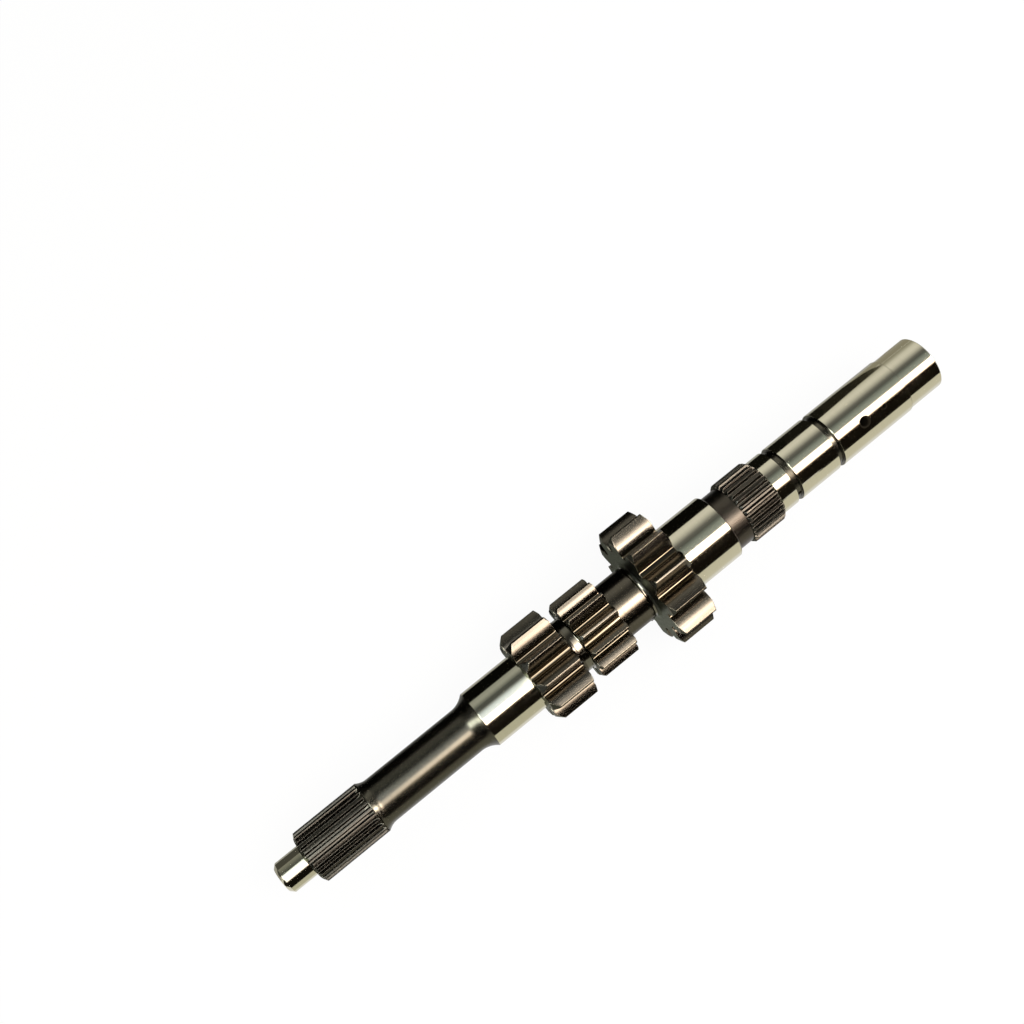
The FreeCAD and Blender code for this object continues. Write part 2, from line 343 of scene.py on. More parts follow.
class Drilling:
    """A drilling across the shaft, with a coned mouth, that the turned skin leaves room for."""

    def __init__(self, x, turn, radius, chamfer, surface, reach):
        self.x = x
        self.angle = math.radians(turn)
        self.radius = radius
        self.chamfer = chamfer
        self.surface = surface
        self.reach = reach
        self.foot = surface - chamfer - radius * radius / (2 * surface)

    def stations(self, finish, cells=12):
        """Profile points across the patch round the mouth."""
        return [
            (self.x + self.reach * (2 * step / cells - 1), self.surface, 0, finish)
            for step in range(cells + 1)]

    def on_surface(self, radius, heading):
        """A point of the shaft's surface at a distance from the drilling's axis."""
        across = radius * math.sin(heading)
        return place(self.x + radius * math.cos(heading), self.surface,
                     self.angle + math.asin(across / self.surface))

    def inside(self, radius, heading, height):
        """A point inside the drilling, at a height above the shaft's axis."""
        across = radius * math.sin(heading)
        angle = self.angle + math.atan2(across, height)
        return place(self.x + radius * math.cos(heading), math.hypot(across, height), angle)

    def mouth(self, heading):
        """Distance from the drilling's axis at which its cone meets the surface."""
        radius = self.radius + self.chamfer
        for _ in range(6):
            across = radius * math.sin(heading)
            radius = self.radius + math.sqrt(self.surface ** 2 - across * across) - self.foot
        return radius


def add_drilling(skin, rings, profile, drilling):
    """Adds a drilling with the skin round its mouth, and gives the (row, column) cells it takes up."""
    step = 2 * math.pi / around
    slack = 1e-4
    inside = [
        number for number, corner in enumerate(profile)
        if abs(corner[0] - drilling.x) <= drilling.reach + slack
        and abs(corner[1] - drilling.surface) < slack]
    first, last = inside[0], inside[-1]
    near = math.floor((drilling.angle - drilling.reach / drilling.surface) / step)
    far = math.ceil((drilling.angle + drilling.reach / drilling.surface) / step)
    loop = [(first, column) for column in range(near, far)]
    loop += [(row, far) for row in range(first, last)]
    loop += [(last, column) for column in range(far, near, -1)]
    loop += [(row, near) for row in range(last, first, -1)]
    headings = []
    distances = []
    for row, column in loop:
        along = profile[row][0] - drilling.x
        across = drilling.surface * math.sin(column * step - drilling.angle)
        headings.append(math.atan2(across, along))
        distances.append(math.hypot(across, along))
    lip = [drilling.mouth(heading) for heading in headings]
    finish = profile[first][3]
    previous = [rings[row][column % around] for row, column in loop]

    # Rings from the edge of the patch to the lip, then a rim rounded into the cone
    lip_margin, rim_out, rim_in, rim_drop = 0.06, 0.05, 0.04, 0.06
    for share in (0.35, 0.65, 0.85, 0.95):
        previous = skin.grow(previous, [
            drilling.on_surface(distance + (mouth + lip_margin - distance) * share, heading)
            for distance, mouth, heading in zip(distances, lip, headings)], finish)
    # From the rim inwards the bore finish paints the drilling near black, as shade.
    previous = skin.grow(previous, [
        drilling.on_surface(mouth + rim_out, heading)
        for mouth, heading in zip(lip, headings)], BORE_SHADE)
    previous = skin.grow(previous, [
        drilling.inside(
            mouth - rim_in, heading,
            math.sqrt(drilling.surface ** 2 - (mouth * math.sin(heading)) ** 2) - rim_drop)
        for mouth, heading in zip(lip, headings)], BORE_SHADE)

    # The cone's foot and the wall, as (added radius, height above the shaft's axis)
    foot_round = 0.10 if drilling.chamfer > 0.1 else 0.0
    for extra, height in (
            (foot_round, drilling.foot + 0.05), (0.0, drilling.foot - 0.05),
            (0.0, drilling.foot - 0.6), (0.0, drilling_floor)):
        previous = skin.grow(previous, [
            drilling.inside(drilling.radius + extra, heading, height) for heading in headings], BORE_SHADE)
    skin.grow(previous, [drilling.inside(0.0, 0.0, drilling_floor)], BORE_SHADE)
    return {(row, column % around) for row in range(first, last) for column in range(near, far)}


def turned_skin(profile, drillings):
    """The turned body from its profile, with patches round the drillings."""
    skin = Skin()
    rings = []
    for x, radius, _, _ in profile:
        count = around if radius else 1
        rings.append(skin.ring([place(x, radius, 2 * math.pi * at / around) for at in range(count)]))
    left_out = set()
    for drilling in drillings:
        left_out |= add_drilling(skin, rings, profile, drilling)
    for row, (first, second) in enumerate(zip(rings, rings[1:])):
        taken = {column for taken_row, column in left_out if taken_row == row}
        skin.join(first, second, profile[row][3], taken)
    return skin


def under_teeth(start, end, radius_before, radius_after, finish_after):
    """Profile points where the turned body dips under a ring of teeth."""
    return [
        (start + lap_step, radius_before, 0, TURNED),
        (start + lap_end, inner_radius, 0, TURNED),
        (end - lap_end, inner_radius, 0, TURNED),
        (end - lap_step, radius_after, 0, finish_after)]


def shaft_profile(drillings):
    """Profile of the turned body, from the centre hole at the pilot end to the gallery's end."""
    groove_drilling, large_drilling, small_drilling = drillings
    cone = math.tan(cone_half_angle)
    point = math.tan(drill_half_angle)
    front = -pilot_length
    relieved = pilot_radius - pilot_relief_depth
    undercut_start = large_gear_start - undercut_fillet
    shoulder_edge = shoulder_journal_end - shoulder_edge_back
    gallery_end = groove_hole_x - gallery_past_groove
    # The centre hole and the gallery take the bore finish, near black: painted shade.
    profile = [
        (front + centre_drill_depth + centre_drill_radius / point, 0, 0, BORE_SHADE),
        (front + centre_drill_depth, centre_drill_radius, 0, BORE_SHADE),
        (front + (centre_mouth_radius - centre_drill_radius) / cone, centre_drill_radius,
         fine_round, GROUND),
        (front, centre_mouth_radius, fine_round, FACE),
        (front, pilot_radius - pilot_chamfer, edge_round, GROUND),
        (front + pilot_chamfer, pilot_radius, edge_round, GROUND),
        (-pilot_relief_start, pilot_radius, 0, GROUND),
        (-pilot_relief_full, relieved, pilot_relief_round, TURNED),
        (clutch_lap, relieved, 0, TURNED),
        (clutch_spline_length - clutch_lap, relieved, 0, SATIN),
        (clutch_spline_length - clutch_lap_step, shank_radius, 0, SATIN)]
    profile += hollow(shank_start, shank_radius, clutch_spline_length, clutch_spline_radius, SATIN)
    profile += [(shank_start + shank_length / 2, shank_radius, 0, SATIN)]
    flare = hollow(flare_start, shank_radius, front_journal_start, front_journal_radius, SATIN)[::-1]
    x, radius, _, _ = flare[-1]
    flare[-1] = (x, radius, flare_round, GROUND)
    profile += flare
    profile += [(small_gear_start + lap, front_journal_radius, 0, GROUND)]
    profile += under_teeth(small_gear_start, small_gear_end, front_journal_radius,
                           gear_neck_radius + small_neck_fillet, TURNED)
    profile += quarter(small_gear_end, gear_neck_radius, small_neck_fillet, 1, TURNED,
                       stretch=small_neck_stretch)
    profile[-1] = (*profile[-1][:3], LAPPED)
    profile += quarter(middle_gear_start, gear_neck_radius, middle_neck_fillet, -1, LAPPED)[::-1]
    profile += under_teeth(middle_gear_start, middle_gear_end, gear_neck_radius + middle_neck_fillet,
                           long_neck_radius, TURNED)
    profile += [
        (middle_gear_end - lap, long_neck_radius, 0, TURNED),
        (undercut_start - undercut_lead, long_neck_radius, 0, TURNED),
        # This short run takes the edge finish, whose lighter steel is a painted glint on the sharp
        # edge.
        (undercut_start - undercut_edge_from, long_neck_radius, 0, EDGE_GLINT),
        (undercut_start - undercut_edge_to, undercut_radius + undercut_edge_rise, 0, LAPPED)]
    undercut = quarter(large_gear_start, undercut_radius, undercut_fillet, -1, FACE, steps=10)[::-1]
    profile += [(x, radius, 0, LAPPED) for x, radius, _, _ in undercut[:3]] + undercut[3:]
    profile += under_teeth(large_gear_start, large_gear_end, undercut_radius + undercut_fillet,
                           shoulder_journal_radius, GROUND)
    profile += [
        (large_gear_end - lap, shoulder_journal_radius, 0, GROUND),
        (shoulder_edge - shoulder_chamfer, shoulder_journal_radius, shoulder_round, RELIEF),
        (shoulder_edge, shoulder_journal_radius - shoulder_chamfer, shoulder_round, RELIEF),
        (shoulder_journal_end, relief_radius, corner_round, RELIEF),
        (hub_spline_start + lap, relief_radius, 0, RELIEF)]
    profile += under_teeth(hub_spline_start, hub_spline_end, relief_radius, seal_land_radius, GROUND)
    profile += [
        (hub_spline_end - lap, seal_land_radius, 0, GROUND),
        (first_groove_start, seal_land_radius, edge_round, SATIN),
        (first_groove_start, groove_floor_radius, edge_round, SATIN)]
    profile += groove_drilling.stations(SATIN)
    profile += [
        (first_groove_end, groove_floor_radius, edge_round, SATIN),
        (first_groove_end, seal_land_radius, edge_round, GROUND),
        (second_groove_start, seal_land_radius, edge_round, SATIN),
        (second_groove_start, groove_floor_radius, edge_round, SATIN),
        (second_groove_end, groove_floor_radius, edge_round, SATIN),
        (second_groove_end, main_journal_radius, edge_round, GROUND)]
    profile += large_drilling.stations(GROUND)
    profile += small_drilling.stations(GROUND, cells=8)
    profile += [
        # The tail step takes the edge finish, whose lighter steel is a painted glint.
        (tail_start, main_journal_radius, tail_step_round, EDGE_GLINT),
        (tail_start + tail_step_run, tail_radius, tail_foot_round, GROUND),
        (tail_end - tail_chamfer, tail_radius, edge_round, GROUND),
        (tail_end, tail_radius - tail_chamfer, edge_round, TURNED),
        (tail_end, gallery_mouth_radius, fine_round, GROUND),
        (tail_end - (gallery_mouth_radius - gallery_radius) / cone, gallery_radius, fine_round, BORE_SHADE),
        (gallery_end, gallery_radius, 0, BORE_SHADE),
        (gallery_end - gallery_radius / point, 0, 0, BORE_SHADE)]
    return rounded(profile)


def involute(angle):
    """The involute function of an angle in radians."""
    return math.tan(angle) - angle


class Teeth:
    """Sizes of one ring of teeth, and the outline of its cross-sections."""

    def __init__(self, count, module, shift, tip=None, root=None):
        pitch = module * count / 2
        self.count = count
        self.pitch_angle = 2 * math.pi / count
        self.spline = tip is not None
        self.tip = tip or pitch + module * (addendum_factor + shift)
        self.root = root or pitch - module * (dedendum_factor - shift)
        self.base = pitch * math.cos(pressure_angle)
        thickness = module * (math.pi / 2 + 2 * shift * math.tan(pressure_angle))
        self.base_half = thickness / (2 * pitch) + involute(pressure_angle)
        self.flank_start = max(self.base, self.root + 0.1 * module)
        self.depth = self.tip - self.root

    def half(self, radius):
        """Half the angle that a tooth spans at a radius on its flank."""
        return self.base_half - involute(math.acos(min(1.0, self.base / radius)))

    def spline_foot(self, tip, floor):
        """The foot of a spline tooth: its points, where its flank starts, and how far it leans out."""
        shallow = max(0.0, 1.0 - (tip - floor) / self.depth)
        fillet = min(0.22, 0.3 * (tip - floor))
        start = floor + fillet
        foot = self.half(start) + fillet / floor + 0.02 * shallow
        points = [
            (floor, (foot + self.pitch_angle / 2) / 2, TEETH),
            (floor, foot, TEETH),
            (floor + 0.3 * fillet, foot - 0.7 * fillet / floor, TEETH)]
        return points, start, 0.012 * shallow

    def gear_foot(self, floor, steps=5):
        """The foot of a gear tooth: its points, where its flank starts, and no lean."""
        start = self.flank_start
        fillet = (start * start - floor * floor) / (2 * floor)
        turn = math.asin(fillet / (floor + fillet))
        foot = self.half(start) + turn
        points = [(floor, (foot + self.pitch_angle / 2) / 2, ROOT)]
        for step in range(steps):
            sweep = (math.pi / 2 - turn) * step / steps
            out = floor + fillet * (1 - math.cos(sweep))
            aside = fillet * math.sin(sweep)
            points.append((math.hypot(out, aside), foot - math.atan2(aside, out), ROOT))
        return points, start, 0.0

    def half_outline(self, tip, floor, corner):
        """One side of a tooth, from the middle of the space to the middle of the land."""
        made, start, lean = self.spline_foot(tip, floor) if self.spline else self.gear_foot(floor)
        flank_steps = 3 if self.spline else 9
        corner = min(corner, 0.3 * (tip - start) + 0.01)
        top = tip - corner
        for step in range(flank_steps + 1):
            share = step / flank_steps
            radius = start + (top - start) * share
            # The top of the flank and the cut corner take the edge finish, a painted glint.
            kind = TEETH if share < 1 else EDGE_GLINT
            made.append((radius, self.half(radius) + lean * (1 - share), kind))
        # The corner is cut in two steps
        edge = self.half(top)
        first_cut = 0.29 * corner
        land = edge - corner / tip
        made.append((tip - first_cut, edge - first_cut / tip, EDGE_GLINT))
        made.append((tip, land, LAND))
        made.append((tip, land * 0.5, LAND))
        return made

    def section(self, x, tip, floor, corner, inset, turn):
        """A closed cross-section at x, drawn in by inset, with the finish of each of its edges."""
        side = self.half_outline(tip, floor, corner)
        loop = []
        finishes = []
        for tooth in range(self.count):
            centre = math.radians(turn) + tooth * self.pitch_angle
            loop.append((floor, centre - self.pitch_angle / 2))
            finishes.append(side[0][2])
            for radius, angle, finish in side:
                loop.append((radius, centre - angle))
                finishes.append(finish)
            loop.append((tip, centre))
            finishes.append(LAND)
            for number, (radius, angle, _) in enumerate(reversed(side)):
                loop.append((radius, centre + angle))
                finishes.append(side[max(0, len(side) - 2 - number)][2])
        flat = [(radius * math.sin(angle), radius * math.cos(angle)) for radius, angle in loop]
        if inset:
            flat = drawn_in(flat, inset)
        return [(x, -across, up) for across, up in flat], finishes


def drawn_in(loop, inset):
    """A closed loop of flat points moved in along its normals."""
    moved = []
    for before, here, after in zip(loop[-1:] + loop[:-1], loop, loop[1:] + loop[:1]):
        along = (after[0] - before[0], after[1] - before[1])
        length = math.hypot(*along) or 1.0
        moved.append((here[0] - along[1] / length * inset, here[1] + along[0] / length * inset))
    if math.hypot(*moved[0]) > math.hypot(*loop[0]):
        moved = [
            (2 * here[0] - there[0], 2 * here[1] - there[1]) for here, there in zip(loop, moved)]
    return moved


def toothed(name, teeth, sections, runs, turn, flank, edge):
    """A closed ring of teeth through sections of (x, tip, floor, corner, inset).

    Each run between two sections has the finish of the tooth tops, and one for all or None.
    """
    skin = Skin()
    previous = None
    for number, section in enumerate(sections):
        points, around_tooth = teeth.section(*section, turn)
        ring = skin.ring(points)
        if previous is None:
            first_ring = ring
        else:
            land, whole = runs[number - 1]
            wanted = {LAND: land, TEETH: flank, EDGE_GLINT: edge}
            kinds = [whole if whole is not None else wanted.get(kind, kind) for kind in around_tooth]
            skin.join(previous, ring, kinds)
        previous = ring
    skin.face(tuple(reversed(first_ring)), FACE)
    skin.face(tuple(previous), FACE)
    return skin.build(name)


gear_corner = 0.2


def gear_end(teeth, x_face, direction, chamfer):
    """Sections and runs from a gear's face to the top of its chamfer."""
    run, rise = chamfer
    edge, soft_run, after_run, longest_step = 0.16, 0.08, 0.1, 0.8
    slope = rise / run
    low = teeth.tip - rise
    sections = []
    runs = []
    # The rounded face edge and the top of the chamfer take the edge finish, a painted glint.
    for angle in (0, 45, 90):
        back = edge * (1 - math.cos(math.radians(angle)))
        inset = edge * (1 - math.sin(math.radians(angle)))
        sections.append((x_face + direction * back, low + slope * back, teeth.root, gear_corner, inset))
        runs.append((EDGE_GLINT, EDGE_GLINT) if angle < 90 else (FACE, None))
    steps = max(3, round(rise / longest_step))
    for step in range(1, steps):
        along = edge + (run - edge) * step / steps
        sections.append((x_face + direction * along, low + slope * along, teeth.root, gear_corner, 0.0))
        runs.append((FACE, None))
    for along, top, land in (
            (run - soft_run, teeth.tip - soft_run * slope, EDGE_GLINT),
            (run + after_run, teeth.tip, TEETH)):
        sections.append((x_face + direction * along, top, teeth.root, gear_corner, 0.0))
        runs.append((land, None))
    return sections, runs


def between(front, middle, back):
    """Sections and runs of a ring of teeth from its front, one middle section and its back."""
    return front[0] + [middle] + back[0][::-1], front[1] + back[1][::-1]


def gear_sections(teeth, x_start, x_end, chamfers):
    """Sections and runs of a gear with chamfers at its front and back."""
    middle = ((x_start + x_end) / 2, teeth.tip, teeth.root, gear_corner, 0.0)
    front = gear_end(teeth, x_start, 1, chamfers[0])
    return between(front, middle, gear_end(teeth, x_end, -1, chamfers[1]))


# The hub spline's module is its size over the teeth divided by its tooth count and two
clutch_teeth = Teeth(
    clutch_spline_teeth, 1.0, 0, tip=clutch_spline_radius, root=shank_radius)
hub_teeth = Teeth(
    hub_spline_teeth, hub_spline_radius * 2 / (hub_spline_teeth + 2), 0,
    tip=hub_spline_radius, root=relief_radius + hub_spline_root_rise)


def clutch_sections():
    """Sections of the clutch spline: a coned front, then spaces that rise out along the cutter."""
    slope = (clutch_spline_radius - clutch_cone_face) / clutch_cone_length
    full, root = clutch_spline_radius, shank_radius
    corner, face_drop, face_step = 0.14, 0.12, 0.08
    cutter = clutch_cutter_radius
    x_root = (root - clutch_cone_face) / slope
    sections = [
        (x, radius, radius, 0.0, 0.0) for x, radius in (
            (0.0, clutch_cone_face - face_drop),
            (face_step, clutch_cone_face + face_step * slope),
            (x_root, root))]
    runs = [(FACE, FACE), (FACE, FACE)]
    cone_steps = 4
    for step in range(1, cone_steps + 1):
        x = x_root + (clutch_cone_length - x_root) * step / cone_steps
        sections.append((x, clutch_cone_face + slope * x, root, corner, 0.0))
        runs.append((FACE, None))
    rise = full - root
    run = math.sqrt(2 * cutter * rise - rise * rise)
    ramp = clutch_spline_length - run
    sections.append((ramp * 0.5, full, root, corner, 0.0))
    sections.append((ramp, full, root, corner, 0.0))
    steps = 9
    for step in range(1, steps + 1):
        along = run * step / steps
        floor = root + cutter - math.sqrt(cutter * cutter - along * along)
        sections.append((ramp + along, full, min(floor, full), corner, 0.0))
    runs += [(SPLINE, None)] * (steps + 2)
    return sections, runs


hub_corner = 0.12


def hub_end(x_face, direction, chamfer):
    """Sections and runs from a face of the hub spline to the top of its chamfer."""
    low, root = hub_spline_radius - chamfer, hub_teeth.root
    face_step, face_rise, face_corner = 0.08, 0.06, 0.1
    sections = [
        (x_face, low - face_step, root - face_step, face_corner, 0.0),
        (x_face + direction * face_step, low + face_rise, root, face_corner, 0.0)]
    runs = [(FACE, FACE), (FACE, None)]
    for share in (0.4, 0.7, 1.0):
        along = chamfer * share
        sections.append((x_face + direction * along, low + along, root, hub_corner, 0.0))
        runs.append((FACE if share < 1 else SPLINE, None))
    return sections, runs


def hub_sections():
    """Sections and runs of the hub spline, chamfered at both ends."""
    middle_x = (hub_spline_start + hub_spline_end) / 2
    front = hub_end(hub_spline_start, 1, hub_spline_chamfers[0])
    back = hub_end(hub_spline_end, -1, hub_spline_chamfers[1])
    return between(front, (middle_x, hub_spline_radius, hub_teeth.root, hub_corner, 0.0), back)


# Materials

bump_height = 0.00002


def empty_tree(block):
    """Turns a material or world to nodes and gives its tree, emptied."""
    block.use_nodes = True
    block.node_tree.nodes.clear()
    return block.node_tree


def new_node(tree, kind, inputs):
    """A new node. Each input is set to a value, or linked from another node's output."""
    made = tree.nodes.new("ShaderNode" + kind)
    for name, given in inputs.items():
        if isinstance(given, bpy.types.NodeSocket):
            tree.links.new(given, made.inputs[name])
        else:
            made.inputs[name].default_value = given
    return made


def maths(tree, operation, *given):
    """The result of a maths node."""
    node = new_node(tree, "Math", dict(enumerate(given)))
    node.operation = operation
    return node.outputs[0]


def mixed(tree, factor, first, second):
    """Two colours mixed by a factor."""
    node = tree.nodes.new("ShaderNodeMix")
    node.data_type = "RGBA"
    for socket, given in zip((0, 6, 7), (factor, first, second)):
        if isinstance(given, tuple):
            node.inputs[socket].default_value = (*given, 1)
        else:
            tree.links.new(given, node.inputs[socket])
    return node.outputs[2]


def ranged(tree, value, low, high, to_low, to_high):
    """A value mapped from one range to another."""
    return new_node(tree, "MapRange", {
        "Value": value, "From Min": low, "From Max": high,
        "To Min": to_low, "To Max": to_high}).outputs["Result"]


def noise(tree, stretch, scale, detail, rough=0.5):
    """A noise texture in the shaft's own coordinates, stretched by three scales."""
    own = new_node(tree, "TexCoord", {}).outputs["Object"]
    mapped = new_node(tree, "Mapping", {"Vector": own, "Scale": stretch}).outputs["Vector"]
    return new_node(tree, "TexNoise", {
        "Vector": mapped, "Scale": scale, "Detail": detail, "Roughness": rough}).outputs["Fac"]


def steel(name, light, dark, smooth, rough, stretch, bump,
          anisotropy=0.0, edge_tint=(1, 1, 1), metal=1.0):
    """Steel with fine marks, drawn out by three scales per metre, and slow changes of tone."""
    material = bpy.data.materials.new(name)
    tree = empty_tree(material)
    blotches = noise(tree, (1, 1, 1), 90, 3)
    streaks = noise(tree, stretch, 1, 4, 0.6)
    tone = maths(tree, "MULTIPLY_ADD", blotches, 0.6, ranged(tree, streaks, 0.3, 0.7, 0.0, 0.4))
    relief = new_node(tree, "Bump", {
        "Strength": bump, "Distance": bump_height, "Height": streaks})
    shader = new_node(tree, "BsdfPrincipled", {
        "Base Color": mixed(tree, tone, light, dark),
        "Metallic": metal,
        "Roughness": ranged(tree, streaks, 0.3, 0.7, smooth, rough),
        "Normal": relief.outputs["Normal"],
        "Specular IOR Level": 0.5 * metal,
        "Specular Tint": (*edge_tint, 1),
        "Anisotropic": anisotropy})
    if anisotropy:
        tangent = new_node(tree, "Tangent", {})
        tangent.direction_type = "RADIAL"
        tangent.axis = "X"
        tree.links.new(tangent.outputs["Tangent"], shader.inputs["Tangent"])
    new_node(tree, "OutputMaterial", {"Surface": shader.outputs["BSDF"]})
    return material


# Marks run round the turned parts and along the teeth. Three tints dim steel that is seen edge on.
turning = (1500, 14, 14)
shaping = (25, 1100, 1100)
speckle = (900, 900, 900)
mild = (0.6, 0.6, 0.6)
mossy = (0.58, 0.60, 0.53)
bright = (0.9, 0.9, 0.9)
steels = [
    steel("ground_steel", (0.56, 0.53, 0.40), (0.51, 0.48, 0.36), 0.06, 0.10,
          turning, 0.06, 0.6),
    steel("turned_steel", (0.105, 0.094, 0.070), (0.085, 0.076, 0.058), 0.15, 0.21,
          turning, 0.08, 0.3, mild),
    steel("satin_steel", (0.088, 0.082, 0.061), (0.072, 0.067, 0.050), 0.20, 0.27,
          turning, 0.08, 0.2, bright),
    steel("gear_steel", (0.115, 0.103, 0.078), (0.090, 0.080, 0.061), 0.20, 0.28,
          shaping, 0.03, 0.0, mild),
    # Lighter steel for edges and corners: a painted glint.
    steel("edge_glint_steel", (0.17, 0.15, 0.108), (0.13, 0.114, 0.082), 0.20, 0.30,
          speckle, 0.1, 0.0, mild),
    # Near-black, non-metal steel inside the drillings: painted shade in the holes.
    steel("bore_shade_steel", (0.022, 0.018, 0.012), (0.016, 0.013, 0.009), 0.5, 0.7,
          speckle, 0.3, metal=0.0),
    steel("root_steel", (0.115, 0.098, 0.066), (0.090, 0.077, 0.052), 0.06, 0.09,
          shaping, 0.03, 0.0, mild),
    steel("face_steel", (0.050, 0.049, 0.041), (0.038, 0.037, 0.031), 0.30, 0.42,
          speckle, 0.15, 0.0, mossy),
    steel("spline_steel", (0.070, 0.064, 0.050), (0.062, 0.056, 0.044), 0.26, 0.30,
          shaping, 0.0, 0.0, mild),
    steel("relief_steel", (0.072, 0.062, 0.048), (0.060, 0.052, 0.040), 0.28, 0.34,
          turning, 0.05, 0.0, bright),
    steel("lapped_steel", (0.17, 0.158, 0.122), (0.14, 0.131, 0.10), 0.10, 0.15,
          turning, 0.05, 0.3, bright)]


# Pieces

drillings = [
    Drilling(groove_hole_x, groove_hole_turn, groove_hole_radius, groove_hole_chamfer,
             groove_floor_radius, groove_hole_patch),
    Drilling(large_hole_x, oil_hole_turn, large_hole_radius, large_hole_chamfer,
             main_journal_radius, large_hole_patch),
    Drilling(large_hole_x + oil_hole_spacing, oil_hole_turn, small_hole_radius,
             small_hole_chamfer, main_journal_radius, small_hole_patch)]

pieces = [
    turned_skin(shaft_profile(drillings), drillings).build("shaft_body"),
    toothed("clutch_spline", clutch_teeth, *clutch_sections(), clutch_spline_turn, SPLINE, SPLINE)]
for name, teeth, start, end, chamfers, turn in (
        ("small_gear", Teeth(*small_gear_teeth), small_gear_start, small_gear_end,
         small_gear_chamfers, small_gear_turn),
        ("middle_gear", Teeth(*middle_gear_teeth), middle_gear_start, middle_gear_end,
         middle_gear_chamfers, middle_gear_turn),
        ("large_gear", Teeth(*large_gear_teeth), large_gear_start, large_gear_end,
         large_gear_chamfers, large_gear_turn)):
    pieces.append(toothed(name, teeth, *gear_sections(teeth, start, end, chamfers), turn, TEETH, EDGE_GLINT))
pieces.append(toothed("hub_spline", hub_teeth, *hub_sections(), hub_spline_turn, SPLINE, SPLINE))
for piece in pieces:
    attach(piece, "root")
    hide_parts("input_shaft")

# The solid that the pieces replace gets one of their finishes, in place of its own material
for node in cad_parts.values():
    node.data.materials.clear()
    node.data.materials.append(steels[GROUND])


# Stage: a pale bench, a light tent seen only in reflections, and one lamp

scene = bpy.context.scene
scene.view_settings.view_transform = "Standard"

bench_level = cad_low[2]


def level_corners(x_from, x_to, y_from, y_to, height):
    """The corners of a level rectangle."""
    return [
        (x_from, y_from, height), (x_to, y_from, height),
        (x_to, y_to, height), (x_from, y_to, height)]


def panel(name, corners, material, faces=None):
    """A stage panel through its corners, in metres, of one face unless more are given."""
    mesh = bpy.data.meshes.new(name)
    mesh.from_pydata(corners, [], faces or [tuple(range(len(corners)))])
    mesh.materials.append(material)
    made = bpy.data.objects.new(name, mesh)
    scene.collection.objects.link(made)
    return made


def seen_or_reflected(tree):
    """One for camera, glossy and transmission rays."""
    rays = new_node(tree, "LightPath", {}).outputs
    seen = maths(tree, "MAXIMUM", rays["Is Camera Ray"], rays["Is Glossy Ray"])
    return maths(tree, "MAXIMUM", seen, rays["Is Transmission Ray"])


def blended(tree, factor, first, second):
    """Two shaders blended by a factor."""
    return new_node(tree, "MixShader", {
        0: factor, 1: first.outputs[0], 2: second.outputs[0]}).outputs[0]


bench_span = 6.0
bench_glow = 0.93
bench_material = bpy.data.materials.new("pale_bench")
tree = empty_tree(bench_material)
matte = new_node(tree, "BsdfDiffuse", {"Color": (0.9, 0.9, 0.88, 1)})
glow = new_node(tree, "Emission", {"Color": (1, 1, 1, 1)})
glowing_share = maths(tree, "MULTIPLY", seen_or_reflected(tree), bench_glow)
new_node(tree, "OutputMaterial", {"Surface": blended(tree, glowing_share, matte, glow)})
panel("bench", level_corners(-bench_span, bench_span, -bench_span, bench_span, bench_level),
      bench_material)

# The tent is a half tube round the shaft's axis, from one side of the bench over to the other.
# Its brightness goes by the angle in degrees from straight up, towards -Y: each look is a list of
# (angle, colour) stops, and the strips and the dark end complete the sides that have none.
tent_radius = 1.3
tent_start, tent_end = -2.2, 1.15
brightest = 40.0
unlit = (0.010, 0.008, 0.006)
tail_side = [
    (-90, (0.42, 0.40, 0.33)), (-83, (0.46, 0.45, 0.38)), (-74, (0.64, 0.63, 0.57)),
    (-64, (0.95, 0.94, 0.89)), (-56, (1.04, 1.03, 0.99)), (-48, (1.05, 1.04, 1.00)),
    (-38, (0.84, 0.83, 0.80)), (-32, (0.60, 0.60, 0.58)), (-22, (0.22, 0.22, 0.22)),
    (-12, (0.15, 0.16, 0.16)), (-6, (0.24, 0.27, 0.27)), (0, (0.37, 0.42, 0.42)),
    (8, (0.46, 0.51, 0.52)), (16.5, (0.50, 0.54, 0.55))]
tail_strip = [
    (17.5, (2.4, 2.2, 2.1)), (19.5, (4.5, 4.1, 4.0)), (34, (5.0, 4.4, 4.1)),
    (41.5, (4.0, 3.2, 2.8)), (43.5, (2.2, 1.7, 1.4)), (44.5, (0.08, 0.065, 0.05))]
shoulder_strip = [
    (17.5, (2.6, 2.4, 2.3)), (20, (7.5, 6.8, 6.6)), (34, (9.0, 7.8, 7.2)),
    (38, (7.0, 5.8, 5.2)), (41, (3.5, 2.8, 2.4)), (42, (0.08, 0.065, 0.05))]
gear_strip = [
    (18, (5.0, 4.6, 4.5)), (21, (22.0, 20.5, 20.5)), (25, (36.0, 34.0, 34.0)),
    (34, (36.0, 33.0, 32.0)), (38, (22.0, 18.5, 17.0)), (40, (9.0, 7.0, 6.0)),
    (41.5, (0.08, 0.065, 0.05))]
dark_end = [(50, unlit), (90, unlit)]
neck_side = [
    (-90, (0.03, 0.03, 0.026)), (-66, (0.03, 0.03, 0.026)), (-60, (0.90, 0.90, 0.86)),
    (-44, (0.90, 0.90, 0.86)), (-32, (0.58, 0.58, 0.56)), (-22, (0.22, 0.22, 0.21)),
    (-12, (0.20, 0.21, 0.20)), (-6, (0.35, 0.37, 0.36)), (0, (0.70, 0.72, 0.68)),
    (8, (1.4, 1.4, 1.3)), (14, (3.0, 2.8, 2.6)), (18, (18.0, 16.0, 15.6)),
    (25, (28.0, 25.2, 24.8)), (36, (28.0, 24.6, 23.0)), (42, (24.0, 20.0, 18.0)),
    (47, (12.0, 9.6, 8.0)), (50, (0.20, 0.15, 0.11)), (60, unlit),
    (90, unlit)]
